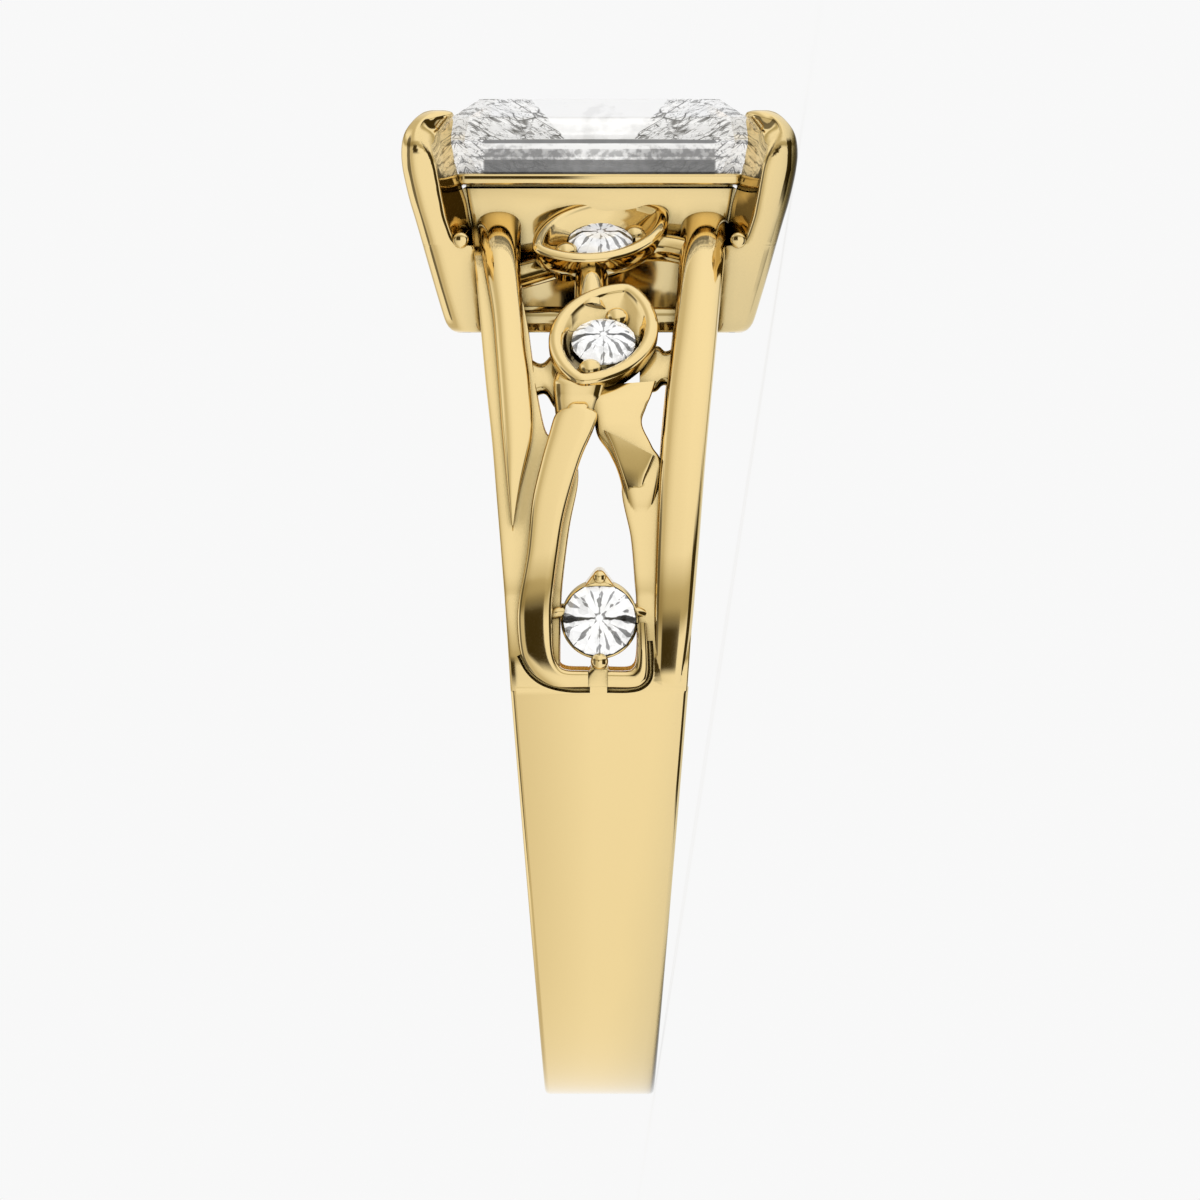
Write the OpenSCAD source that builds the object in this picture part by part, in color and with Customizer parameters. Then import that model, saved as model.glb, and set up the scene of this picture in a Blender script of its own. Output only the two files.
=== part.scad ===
/* [Band] */
// Inner diameter of the finger hole
finger_d = 17.3; // [17.0:0.1:17.5]
// Metal under the finger at the bottom of the band
band_t = 1.7; // [1.5:0.05:2.1]
// Metal at the sides, where the band splits
side_t = 1.85; // [1.7:0.05:2.1]
// Band width at its bottom
band_w_low = 2.75; // [2.4:0.05:3.2]
// Band width where it splits
band_w_mid = 4.45; // [4.2:0.05:4.7]
// Width over both rails where they meet the head
band_w_top = 6.44; // [6.2:0.05:6.6]
// Width of one rail
rail_w = 1.22; // [1.0:0.02:1.3]

/* [Head] */
// Height of the collar's top above the middle of the finger hole
collar_z = 12.78; // [12.6:0.02:12.9]
// Width of the collar, which is square
collar_w = 7.32; // [7.2:0.02:7.4]
// Width of the head wall at its bottom
head_w_low = 5.56; // [5.4:0.02:5.7]
// Height of the head's bottom edge above the middle of the finger hole
head_z_low = 8.8; // [8.75:0.05:8.95]
// Width over the claws at their widest
claw_w = 9.98; // [9.8:0.02:10.1]
// Height of the claw tips above the middle of the finger hole
claw_z = 14.42; // [14.36:0.02:14.5]

/* [Stones] */
// Side of the square centre stone at its girdle
stone_w = 7.58; // [7.5:0.02:7.6]
// Side of its table
table_w = 6.0; // [5.6:0.1:6.2]
// Diameter of the leaf stones
leaf_stone_d = 1.62; // [1.4:0.02:1.66]
// Diameter of the stones where the band splits
shoulder_stone_d = 1.82; // [1.6:0.02:1.86]

/* [Leaves] */
// Length of a leaf bezel from tip to tip
leaf_l = 4.0; // [3.8:0.1:4.2]
// Width of a leaf bezel
leaf_w = 2.7; // [2.6:0.05:2.8]
// Width of its rim
leaf_rim = 0.36; // [0.3:0.02:0.4]
// Depth of its wall
leaf_depth = 1.0; // [0.9:0.05:1.1]

/* [Hidden] */
$fn = 48;
gold = [0.94, 0.80, 0.50];
clear = [0.95, 0.96, 0.97];

// Gap kept between a stone and the metal that holds it
fit_gap = 0.05;
// Past every surface that a cut has to clear
past = 1;

finger_r = finger_d / 2;
bottom_r = finger_r + band_t;
side_r = finger_r + side_t;

// The lower outside is one arc, through the bottom and both sides
low_c = (side_r * side_r - bottom_r * bottom_r) / (2 * bottom_r);
low_r = low_c + bottom_r;

// Where the band splits, and where its rails end on the head's wall
split_z = -0.05;
rail_top_z = 11.7;

// The rails lean apart as they rise
rail_x_low = band_w_mid / 2 - rail_w / 2 + 0.12;
rail_x_top = band_w_top / 2 - rail_w / 2;
rail_lean = atan((rail_x_top - rail_x_low) / rail_top_z);
rail_round = 0.4;

// Head: wall half widths, and how thick the wall is
collar_h = 0.28;
wall_w_top = 6.9;
wall_t = 0.6;
low_rail_h = 0.7;
low_rail_step = 0.12;
bar_r = 0.22;
bar_z = 11.1;

// Each shoulder is one wide arc, upright at the side, that ends on the head's wall
shoulder_run = side_r - wall_half(rail_top_z);
shoulder_r = (shoulder_run * shoulder_run + rail_top_z * rail_top_z) / (2 * shoulder_run);
shoulder_c = shoulder_r - side_r;

// Centre stone levels, and the break in its lower side
table_z = 14.65;
girdle_z = 14.05;
girdle_t = 0.1;
step_z = 12.87;
step_w = 7.24;
culet_z = 9.45;
corner_cut = 0.22;

// Side stones, as shares of their diameter
table_share = 0.57;
crown_share = 0.15;
belt_share = 0.03;
pavilion_share = 0.43;

// Places of the leaves and the shoulder stone on the front of the ring:
// middle of the rim, how far its face looks up, and the turn of the leaf
//            x     y      z      look up  turn
lower_leaf = [0.10, -7.45, 8.66, 46, 22];
upper_leaf = [0.03, -4.40, 11.22, 63, 61];
shoulder_seat = [0, -10.42, 1.62, 8.7, 0];

// Bars that tie the leaves to the rails, rising to the right
leaf_bar_l = 3.8;
//             y      z     rise  radius
lower_bar = [-7.35, 7.75, 0.4, 0.36];
upper_bar = [-4.15, 10.45, 0.9, 0.30];

// Post that joins the two leaves
post_mid = [-0.2, -5.4, 9.85];
post_size = [0.9, 2.6, 0.7];
post_lean = -25;

// Shoulder collet: its cup, its two claws and the neck under its lower claw
cup_depth = 1.0;
cup_low_r = 0.4;
small_claw_r = 0.2;
neck_size = [0.5, 1.1, 0.95];
neck_low = -1.1;

// Where the ring touches the surface that it lies on: the claws and the band's lower edge
claw_belly_z = 13.3;
lean = atan((claw_w - band_w_low) / 2 / (claw_belly_z + bottom_r));

// Carries an outline in y and z along the finger hole's axis
module along_finger(h) {
    rotate([90, 0, 90]) linear_extrude(h, center = true) children();
}

// Carries an outline in x and z from front to back
module front_to_back(h) {
    rotate([90, 0, 0]) linear_extrude(h, center = true) children();
}

// Everything in front of the finger hole's axis
module front_half() {
    translate([-10, -20, -20]) cube([20, 20, 40]);
}

// A part of the front shoulder and its mirror image at the back
module both_shoulders() {
    children();
    mirror([0, 1, 0]) children();
}

// Moves a child to a seat, with its face along the seat's own upward axis
module on_seat(seat) {
    translate([seat[0], seat[1], seat[2]])
        rotate([90 - seat[3], 0, 0])
            rotate([0, 0, -seat[4]])
                children();
}

// The band's outline as seen from the side, straight from point to point
module band_outline() {
    taper = (band_w_mid - band_w_low) / 2 / bottom_r;
    half = [[band_w_low / 2 - taper * past, -bottom_r - past], [band_w_mid / 2, 0], [2.56, 4.6], [2.96, 8.7],
        [band_w_top / 2, rail_top_z], [band_w_top / 2, rail_top_z + past]];
    polygon([for (p = half) p, for (i = [len(half) - 1:-1:0]) [-half[i][0], half[i][1]]]);
}

// Outer side of the front shoulder, raised or sunk by rise
module shoulder_disc(rise = 0) {
    translate([shoulder_c, 0]) circle(r = shoulder_r + rise, $fn = 96);
}

// The plain band below the split, flat across its width
module plain_band() {
    intersection() {
        front_to_back(30) band_outline();
        along_finger(12) intersection() {
            translate([0, low_c]) circle(r = low_r, $fn = 96);
            translate([-15, -15]) square([30, 15 + split_z]);
        }
    }
}

// One rail from the split to the head, with rounded shoulders
module rail(side, rise = 0) {
    outer = shoulder_r + rise;
    intersection() {
        translate([side * rail_x_low, 0, 0])
            rotate([0, side * rail_lean, 0])
                translate([0, shoulder_c, 0])
                    rotate([0, 90, 0])
                        rotate_extrude($fn = 96) rail_section(outer);
        front_to_back(30) band_outline();
        along_finger(12) front_of_head();
    }
}

// Everything in front of the head's front wall, from just below the split
module front_of_head() {
    bite = wall_t / 2;
    polygon([[-20, split_z - 0.1], [-head_w_low / 2 + bite, split_z - 0.1],
        [-head_w_low / 2 + bite, head_z_low], [-wall_half(12.4) + bite, 12.4], [-20, 12.4]]);
}

// Half section of a rail: straight sides and a rounded outside
module rail_section(outer) {
    inner = finger_r - 3;
    translate([inner, -rail_w / 2]) square([outer - rail_round - inner, rail_w]);
    translate([inner, -rail_w / 2 + rail_round]) square([outer - inner, rail_w - 2 * rail_round]);
    for (s = [-1, 1])
        translate([outer - rail_round, s * (rail_w / 2 - rail_round)]) circle(r = rail_round, $fn = 32);
}

// A strand of the vine: an outline seen from the side, on the shoulder's curve
module strand(points, rise) {
    intersection() {
        front_to_back(30) polygon(points);
        front_to_back(30) band_outline();
        along_finger(12) shoulder_disc(rise);
        front_half();
    }
}

// The stem rises from the left rail to the foot of the lower leaf
module stem() {
    strand([[-0.06, 6.80], [-0.19, 6.18], [-0.41, 5.60], [-0.69, 4.85], [-0.84, 3.93], [-0.94, 2.75],
        [-0.99, 1.85], [-0.99, 0.60], [-0.90, 0.42], [-0.45, 0.36], [-0.45, -0.10], [-2.6, -0.10],
        [-2.6, 4.00], [-2.19, 4.00], [-1.85, 4.80], [-1.50, 5.80], [-1.06, 6.83]], 0);
}

// The branch leaves the right rail and passes under the stem's top
module branch() {
    strand([[-0.30, 7.20], [-0.19, 6.18], [-0.04, 6.18], [0.27, 5.70], [0.53, 5.05], [0.78, 3.63],
        [0.90, 2.50], [0.93, 2.00], [0.94, 0.60], [0.85, 0.42], [0.40, 0.36], [0.40, -0.10], [1.8, -0.10],
        [1.8, 5.90], [1.36, 5.85], [1.06, 6.50], [1.26, 7.20]], -0.3);
}

// Leaf outline: two arcs that meet in points, which a third arc blunts
module leaf_outline(l, w) {
    r = (l * l + w * w) / (4 * w);
    intersection() {
        translate([w / 2 - r, 0]) circle(r = r, $fn = 96);
        translate([r - w / 2, 0]) circle(r = r, $fn = 96);
        circle(r = l / 2 - 0.06);
    }
}

// Leaf bezel: a rim, a wall and a floor under the stone
module leaf_bezel() {
    floor_z = -0.62;
    difference() {
        translate([0, 0, -leaf_depth]) linear_extrude(leaf_depth) leaf_outline(leaf_l, leaf_w);
        translate([0, 0, floor_z]) linear_extrude(past)
            leaf_outline(leaf_l - 2.4 * leaf_rim, leaf_w - 2 * leaf_rim);
    }
    for (s = [-1, 1])
        translate([0, s * (leaf_stone_d / 2 + 0.2), -leaf_depth]) cylinder(h = leaf_depth + 0.02, r = 0.3);
}

// Space that a round stone takes, with a gap all round. Its girdle is at z = 0.
module stone_space(d, g = fit_gap) {
    r = d / 2 + g;
    cylinder(h = crown_share * d + g, r1 = r, r2 = d * table_share / 2 + g);
    translate([0, 0, -belt_share * d]) cylinder(h = belt_share * d, r = r);
    translate([0, 0, -(belt_share + pavilion_share) * d - g])
        cylinder(h = pavilion_share * d + g, r1 = 0.12, r2 = r);
}

// Leaf stones sit just under the rim's top
module in_leaf() {
    translate([0, 0, -0.12]) children();
}

// Bar that ties a leaf to both rails
module leaf_strut(bar) {
    translate([0, bar[0], bar[1]]) rotate([0, 90 - atan(bar[2] / leaf_bar_l), 0])
        cylinder(h = leaf_bar_l, r = bar[3], center = true);
}

module leaf_post() {
    translate(post_mid) rotate([post_lean, 0, 0]) cube(post_size, center = true);
}

// Cup, neck and two claws that hold the shoulder stone
module collet() {
    cup_r = shoulder_stone_d / 2 + small_claw_r / 2;
    on_seat(shoulder_seat) {
        translate([0, 0, -cup_depth]) cylinder(h = cup_depth, r1 = cup_low_r, r2 = cup_r);
        for (s = [-1, 1])
            translate([0, s * cup_r, small_claw_r - cup_depth]) cylinder(h = cup_depth, r = small_claw_r);
        translate([-neck_size[0] / 2, -cup_r - neck_size[1] + 0.36, neck_low]) cube(neck_size);
    }
}

// A square frustum between two levels, given its half widths there
module frustum(z0, half0, z1, half1) {
    side = [[-half0, z0], [half0, z0], [half1, z1], [-half1, z1]];
    intersection() {
        front_to_back(2 * past + 2 * max(half0, half1)) polygon(side);
        along_finger(2 * past + 2 * max(half0, half1)) polygon(side);
    }
}

// Half width of the head's outer wall at a height
function wall_half(z) = head_w_low / 2 +
    (wall_w_top - head_w_low) / 2 * (z - head_z_low) / (collar_z - collar_h - head_z_low);

// Head: collar, front and back walls, lower rail and the bars at the sides
module head() {
    side_gap_z = [head_z_low + low_rail_h + 0.15, 12.0];
    difference() {
        union() {
            frustum(head_z_low, wall_half(head_z_low), collar_z - collar_h, wall_w_top / 2);
            frustum(collar_z - collar_h - 0.12, wall_w_top / 2 - 0.02, collar_z - collar_h, collar_w / 2);
            frustum(collar_z - collar_h, collar_w / 2, collar_z, collar_w / 2);
            frustum(head_z_low + 0.05, wall_half(head_z_low) + low_rail_step,
                head_z_low + low_rail_h, wall_half(head_z_low + low_rail_h) + low_rail_step);
        }
        frustum(head_z_low - past, wall_half(head_z_low - past) - wall_t,
            12.0, wall_half(12.0) - wall_t);
        seat_half = step_w / 2 - (step_z - collar_z) + 2.5 * fit_gap;
        seat_drop = seat_half + past / 4 - (wall_half(12.0) - wall_t);
        frustum(collar_z + past / 4 - seat_drop, seat_half + past / 4 - seat_drop,
            collar_z + past / 4, seat_half + past / 4);
        translate([-5, -2.2, side_gap_z[0]]) cube([10, 4.4, side_gap_z[1] - side_gap_z[0]]);
    }
    for (s = [-1, 1])
        translate([s * (wall_half(bar_z) + 0.28), 0, bar_z]) rotate([90, 0, 0])
            cylinder(h = 7.4, r = bar_r, center = true);
}

// A claw's outline from the side, out from the middle of the head
function claw_outline() = [[2.35, head_z_low], [claw_w / 2 - 1.4, head_z_low],
    [claw_w / 2 - 1.2, head_z_low + 0.1], [claw_w / 2 - 1.05, head_z_low + 0.4],
    [claw_w / 2 - 0.10, 12.6], [claw_w / 2 - 0.02, 13.0], [claw_w / 2, claw_belly_z],
    [claw_w / 2 - 0.06, 13.7], [claw_w / 2 - 0.24, 14.12], [4.42, claw_z - 0.03],
    [4.1, claw_z], [3.75, claw_z - 0.08], [3.64, claw_z - 0.24], [3.84, 14.06], [3.84, 12.9],
    [3.64, 12.78], [3.20, 12.34]];

// One corner claw. Both side views and the diagonal view trim it.
module claw() {
    reach = sqrt(2) * claw_w / 2 - 0.42;
    intersection() {
        front_to_back(12) polygon(claw_outline());
        rotate([0, 0, 90]) front_to_back(12) polygon(claw_outline());
        rotate([0, 0, 45]) front_to_back(12)
            polygon([[0, head_z_low - past], [reach - 1.45, head_z_low], [reach - 0.1, 12.6],
                [reach, claw_belly_z], [reach - 0.3, 14.0], [reach - 0.9, claw_z + past],
                [0, claw_z + past]]);
    }
}

module claws() {
    for (a = [0:90:270]) rotate([0, 0, a]) claw();
}

// Space for the centre stone in the claws
module centre_space() {
    g = fit_gap;
    frustum(step_z, step_w / 2 + g, girdle_z - girdle_t, stone_w / 2 + g);
    frustum(girdle_z - girdle_t, stone_w / 2 + g, girdle_z + g / 2, stone_w / 2 + g);
    frustum(girdle_z + g / 2, stone_w / 2 + g, table_z + g, table_w / 2 + g);
}

// All the gold, which is one casting
module mount_upright() {
    difference() {
        union() {
            plain_band();
            both_shoulders() {
                for (side = [-1, 1]) rail(side, side < 0 ? -0.15 : 0);
                stem();
                branch();
                collet();
                for (leaf = [lower_leaf, upper_leaf]) on_seat(leaf) leaf_bezel();
                for (bar = [lower_bar, upper_bar]) leaf_strut(bar);
                leaf_post();
            }
            head();
            claws();
        }
        rotate([0, 90, 0]) cylinder(h = 20, r = finger_r, center = true, $fn = 96);
        centre_space();
        both_shoulders() {
            on_seat(shoulder_seat) stone_space(shoulder_stone_d);
            for (leaf = [lower_leaf, upper_leaf]) on_seat(leaf) in_leaf() stone_space(leaf_stone_d);
        }
    }
}

// Corner points of a square ring with cut corners, eight to a level
function cut_square(half, cut, z) = [for (a = [0:90:270]) for (p = [[half, -half + cut], [half, half - cut]])
    [p[0] * cos(a) - p[1] * sin(a), p[0] * sin(a) + p[1] * cos(a), z]];

// Corner points of a regular ring, turned by a share of one step
function even_ring(n, r, z, turn = 0) =
    [for (i = [0:n - 1]) [r * cos(360 * (i + turn) / n), r * sin(360 * (i + turn) / n), z]];

// A closed solid through rings of n points each, from the lowest up, with flat ends
module faceted(rings) {
    n = len(rings[0]);
    last = len(rings) - 1;
    points = [for (ring = rings) each ring];
    sides = [for (k = [0:last - 1]) for (i = [0:n - 1]) for (half = [0, 1])
        half == 0 ? [k * n + i, (k + 1) * n + i, (k + 1) * n + (i + 1) % n]
            : [k * n + i, (k + 1) * n + (i + 1) % n, k * n + (i + 1) % n]];
    polyhedron(points, concat([[for (i = [0:n - 1]) i]], sides, [[for (i = [n - 1:-1:0]) last * n + i]]));
}

// Square stone: table, one crown step, girdle and three steps below
module centre_stone_upright() {
    faceted([cut_square(0.12, 0.03, culet_z), cut_square(2.0, 0.15, 11.15),
        cut_square(step_w / 2, corner_cut, step_z), cut_square(stone_w / 2, corner_cut, girdle_z - girdle_t),
        cut_square(stone_w / 2, corner_cut, girdle_z), cut_square(table_w / 2, 0.35, table_z)]);
}

// Round stone with sixteen facets a side. Its girdle is at z = 0.
module round_stone(d) {
    n = 16;
    r = d / 2;
    faceted([even_ring(n, 0.05, -(belt_share + pavilion_share) * d), even_ring(n, r, -belt_share * d),
        even_ring(n, r, 0), even_ring(n, r * 0.8, crown_share * d * 0.55, 0.5),
        even_ring(n, r * table_share, crown_share * d, 0.5)]);
}

// The ring lies on its side, on two claws and the band's lower edge, with its head towards +X
module laid_down() {
    turn = 90 - lean;
    low = -claw_w / 2 * sin(turn) + claw_belly_z * cos(turn);
    first = band_w_low / 2 * -cos(turn) - bottom_r * sin(turn);
    top = table_w / 2 * cos(turn) + table_z * sin(turn);
    translate([-(first + top) / 2, 0, -low]) rotate([0, turn, 0]) children();
}

module mount() {
    color(gold) laid_down() mount_upright();
}

module centre_stone() {
    color(clear) laid_down() centre_stone_upright();
}

module side_stone(seat, d, back) {
    color(clear) laid_down() mirror([0, back ? 1 : 0, 0]) on_seat(seat) children();
}

module leaf_stone(seat, back) {
    side_stone(seat, leaf_stone_d, back) in_leaf() round_stone(leaf_stone_d);
}

mount();
centre_stone();
leaf_stone(upper_leaf, false);  // front_upper_leaf_stone
leaf_stone(upper_leaf, true);  // back_upper_leaf_stone
leaf_stone(lower_leaf, false);  // front_lower_leaf_stone
leaf_stone(lower_leaf, true);  // back_lower_leaf_stone
side_stone(shoulder_seat, shoulder_stone_d, false) round_stone(shoulder_stone_d);  // front_shoulder_stone
side_stone(shoulder_seat, shoulder_stone_d, true) round_stone(shoulder_stone_d);  // back_shoulder_stone
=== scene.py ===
"""Looks of a gold ring that lies on its side on a pale floor.

Every shape is worked out in millimetres in the upright ring: x runs along the finger, y from the
front shoulder to the back one, and z up to the head. laid_down() then tips it onto its side, the
way it rests on the floor.
"""
import math
import bmesh
import bpy
import numpy as np
from mathutils import Matrix


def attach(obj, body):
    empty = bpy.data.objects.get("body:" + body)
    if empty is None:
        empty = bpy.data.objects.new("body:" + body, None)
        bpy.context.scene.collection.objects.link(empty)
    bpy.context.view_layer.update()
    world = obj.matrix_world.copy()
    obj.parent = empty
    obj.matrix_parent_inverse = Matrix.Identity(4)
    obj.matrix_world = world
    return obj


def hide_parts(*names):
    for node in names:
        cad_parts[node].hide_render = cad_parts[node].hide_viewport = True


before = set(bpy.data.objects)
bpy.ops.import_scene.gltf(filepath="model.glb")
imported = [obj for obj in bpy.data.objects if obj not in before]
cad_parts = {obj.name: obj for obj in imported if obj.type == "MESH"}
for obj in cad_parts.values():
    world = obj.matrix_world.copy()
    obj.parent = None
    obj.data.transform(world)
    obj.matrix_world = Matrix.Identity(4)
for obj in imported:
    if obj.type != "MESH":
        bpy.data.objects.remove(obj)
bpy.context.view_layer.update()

# Scale of the photograph, its middle, and where the ring's middle lies in it
MM_PER_PX = 0.025
PHOTO_MID_PX = 600
MID_PX = 599.5
ZERO_PX = 684.0

# Band; its blank reaches into the finger hole, which finger_cut() opens
FINGER_R = 8.65
BLANK_R = FINGER_R - 0.4
BOTTOM_R = 10.35
SIDE_R = 10.5
BAND_W_LOW = 2.75
BAND_W_MID = 4.45
SPLIT_Z = -0.05
RAIL_TOP_Z = 11.7

# Head
COLLAR_Z = 12.78
COLLAR_H = 0.28
COLLAR_HALF = 3.66
HEAD_LOW_Z = 8.8
HEAD_LOW_HALF = 2.78
WALL_TOP_HALF = 3.45
WALL_T = 0.6
CLAW_HALF = 4.99
CLAW_BELLY_Z = 13.3
BAR_Z = 11.1
BAR_R = 0.2
BAR_REACH = 4.5
BAR_END_R = 0.08

# Square stone, and the room that the claws leave round it
TABLE_HALF = 3.0
TABLE_Z = 14.65
CROWN_STEP_HALF = 3.69
CROWN_STEP_Z = 14.2
GIRDLE_HALF = 3.79
GIRDLE_TOP_Z = 13.62
GIRDLE_LOW_Z = 13.54
STEP_LOW_Z = 12.82
STONE_GAP = 0.03


def wall_half(z):
    """Half width of the head's wall at height z: a straight taper from foot to collar."""
    return HEAD_LOW_HALF + (WALL_TOP_HALF - HEAD_LOW_HALF) * (z - HEAD_LOW_Z) / (
        COLLAR_Z - COLLAR_H - HEAD_LOW_Z)


# Lower outside: one arc through the bottom and both sides
LOW_C = (SIDE_R ** 2 - BOTTOM_R ** 2) / (2 * BOTTOM_R)
LOW_R = LOW_C + BOTTOM_R
# Shoulder: one wide arc, upright at the side, that ends on the head's wall
SHOULDER_RUN = SIDE_R - wall_half(RAIL_TOP_Z)
SHOULDER_R = (SHOULDER_RUN ** 2 + RAIL_TOP_Z ** 2) / (2 * SHOULDER_RUN)
SHOULDER_C = SHOULDER_R - SIDE_R

# The ring lies on two claws and the band's lower edge
LEAN = math.atan((CLAW_HALF - BAND_W_LOW / 2) / (CLAW_BELLY_Z + BOTTOM_R))
TURN = math.pi / 2 - LEAN


def tipped(x, z):
    """Height direction and run of a point after the ring is tipped about its depth axis."""
    return x * math.cos(TURN) + z * math.sin(TURN), -x * math.sin(TURN) + z * math.cos(TURN)


REST_X = -(tipped(-BAND_W_LOW / 2, -BOTTOM_R)[0] + tipped(TABLE_HALF, TABLE_Z)[0]) / 2
REST_Z = -tipped(CLAW_HALF, CLAW_BELLY_Z)[1]


def laid_down(points):
    """Upright millimetres to metres where the ring lies: a turn about y, then a shift."""
    run, rise = tipped(points[:, 0], points[:, 2])
    return np.stack([run + REST_X, points[:, 1], rise + REST_Z], axis=1) / 1000


def seen_at(points_px):
    """Photo pixels to x and z in millimetres, for points on the front of the ring."""
    px = np.asarray(points_px, float)
    return np.stack([(px[:, 0] - MID_PX) * MM_PER_PX, (ZERO_PX - px[:, 1]) * MM_PER_PX], axis=1)


def smooth_path(points, count):
    """Catmull-Rom curve through the points, then count points at even steps of its length."""
    p = np.asarray(points, float)
    p = np.vstack([2 * p[0] - p[1], p, 2 * p[-1] - p[-2]])
    t = np.linspace(0, len(p) - 3 - 1e-9, 40 * len(p))
    i = t.astype(int)
    f = (t - i)[:, None]
    a, b, c, d = p[i], p[i + 1], p[i + 2], p[i + 3]
    curve = 0.5 * (2 * b + (c - a) * f + (2 * a - 5 * b + 4 * c - d) * f ** 2
                   + (3 * b - a - 3 * c + d) * f ** 3)
    length = np.concatenate([[0], np.cumsum(np.linalg.norm(np.diff(curve, axis=0), axis=1))])
    at = np.linspace(0, length[-1], count)
    return np.stack([np.interp(at, length, curve[:, k]) for k in range(p.shape[1])], axis=1)


def on_shoulder(x, z, lift):
    """Point seen from the front at x and z, on an arc that lies lift outside the shoulder's own.

    Its depth is the arc's centre less the root of the radius squared minus z squared."""
    return np.stack([x, SHOULDER_C - np.sqrt((SHOULDER_R + lift) ** 2 - z ** 2), z], axis=-1)


def behind_shoulder(x, z):
    """Point at x and z where a strip's walls end: in the finger hole, or in the head's front wall."""
    inner = np.where(z < HEAD_LOW_Z, HEAD_LOW_HALF, wall_half(z)) - WALL_T / 2
    return np.stack([x, -inner, z], axis=-1)


def on_seat(seat, u, v, w):
    """Point u across, v up the face and w out of the face of a seat on the front shoulder."""
    x, y, z, look_up = seat[:4]
    s, c = math.sin(math.radians(look_up)), math.cos(math.radians(look_up))
    return np.stack([x + u, y + v * s - w * c, z + v * c + w * s], axis=-1)


def full_turn(count):
    """Angles at count even steps round a circle."""
    return np.linspace(0, 2 * math.pi, count, endpoint=False)


def even_loop(corners, count):
    """Points at count even steps along the straight sides of a closed outline."""
    ends = np.vstack([corners, corners[:1]])
    length = np.concatenate([[0], np.cumsum(np.linalg.norm(np.diff(ends, axis=0), axis=1))])
    at = np.linspace(0, length[-1], count, endpoint=False)
    return np.stack([np.interp(at, length, ends[:, k]) for k in (0, 1)], axis=1)


def softened(loop, rounds):
    """Closed loop whose points are evened out with their neighbours, a quarter of each, by rounds."""
    for _ in range(rounds):
        loop = (np.roll(loop, 1, axis=0) + 2 * loop + np.roll(loop, -1, axis=0)) / 4
    return loop


def in_scene(name, data):
    """New object of the mesh or camera data, put into the scene."""
    made = bpy.data.objects.new(name, data)
    bpy.context.scene.collection.objects.link(made)
    return made


def closed_shell(name, rings):
    """Mesh of rings, an array of rings by points by 3, joined by quads and closed by two fans."""
    rings = np.asarray(rings, float)
    count, n = rings.shape[:2]
    points = np.concatenate([rings.reshape(-1, 3), [rings[0].mean(0), rings[-1].mean(0)]])
    i, k = np.meshgrid(np.arange(n), np.arange(count - 1))
    i, k = i.ravel(), k.ravel()
    j = (i + 1) % n
    quads = np.stack([k * n + i, k * n + j, (k + 1) * n + j, (k + 1) * n + i], axis=1)
    i = np.arange(n)
    j = (i + 1) % n
    low = np.stack([j, i, np.full(n, count * n)], axis=1)
    high = np.stack([(count - 1) * n + i, (count - 1) * n + j, np.full(n, count * n + 1)], axis=1)
    return mesh_from(name, points, quads.tolist() + low.tolist() + high.tolist())


def mesh_from(name, points, faces):
    """Mesh object from upright millimetre points, its faces turned outwards."""
    mesh = bpy.data.meshes.new(name)
    mesh.from_pydata(np.asarray(points, float), [], faces)
    work = bmesh.new()
    work.from_mesh(mesh)
    bmesh.ops.recalc_face_normals(work, faces=work.faces)
    if work.calc_volume(signed=True) < 0:
        bmesh.ops.reverse_faces(work, faces=work.faces)
    work.to_mesh(mesh)
    work.free()
    return in_scene(name, mesh)


def mirrored(shell):
    """The same shell on the back shoulder: y changes sign and every face is turned over."""
    mesh = shell.data.copy()
    mesh.transform(((1, 0, 0, 0), (0, -1, 0, 0), (0, 0, 1, 0), (0, 0, 0, 1)))
    mesh.flip_normals()
    return in_scene(shell.name + "_back", mesh)


# Band and shoulders
ARC_STEPS = 150
EDGE_R = 0.13
NARROW_EDGE_SHARE = 0.46


def rounded_box_profile(half, low, high, r, steps=5):
    """Closed profile of a rounded box, from -half to half and low to high, as x and height."""
    turns = np.linspace(0, math.pi / 2, steps)
    corners = [(half - r, high - r, 0), (-half + r, high - r, 1),
               (-half + r, low + r, 2), (half - r, low + r, 3)]
    return np.concatenate([np.stack([cx + r * np.cos(turns + q * math.pi / 2),
                                     cy + r * np.sin(turns + q * math.pi / 2)], axis=1)
                           for cx, cy, q in corners])


def plain_band():
    """The band below the split: a rounded box section carried round the lower half.

    Its width grows evenly with height, and its outside follows the lower arc."""
    angles = np.linspace(math.pi - SPLIT_Z / SIDE_R, 2 * math.pi + SPLIT_Z / SIDE_R, ARC_STEPS)
    rings = []
    for a in angles:
        cy, cz = math.cos(a), math.sin(a)
        outer = LOW_C * cz + math.sqrt((LOW_C * cz) ** 2 - LOW_C ** 2 + LOW_R ** 2)
        half = (BAND_W_LOW + (BAND_W_MID - BAND_W_LOW) * (outer * cz + BOTTOM_R) / BOTTOM_R) / 2
        section = rounded_box_profile(half, BLANK_R, outer, EDGE_R)
        rings.append(np.stack([section[:, 0], section[:, 1] * cy, section[:, 1] * cz], axis=1))
    return closed_shell("plain_band", rings)


NOSE_STEPS = 7
ACROSS_STEPS = 41


def level_at(table, z):
    """Value at height z from a table of heights and values, evened out between its rows."""
    heights, values = np.array(table, float).T
    return np.interp(z, heights, values)


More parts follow.
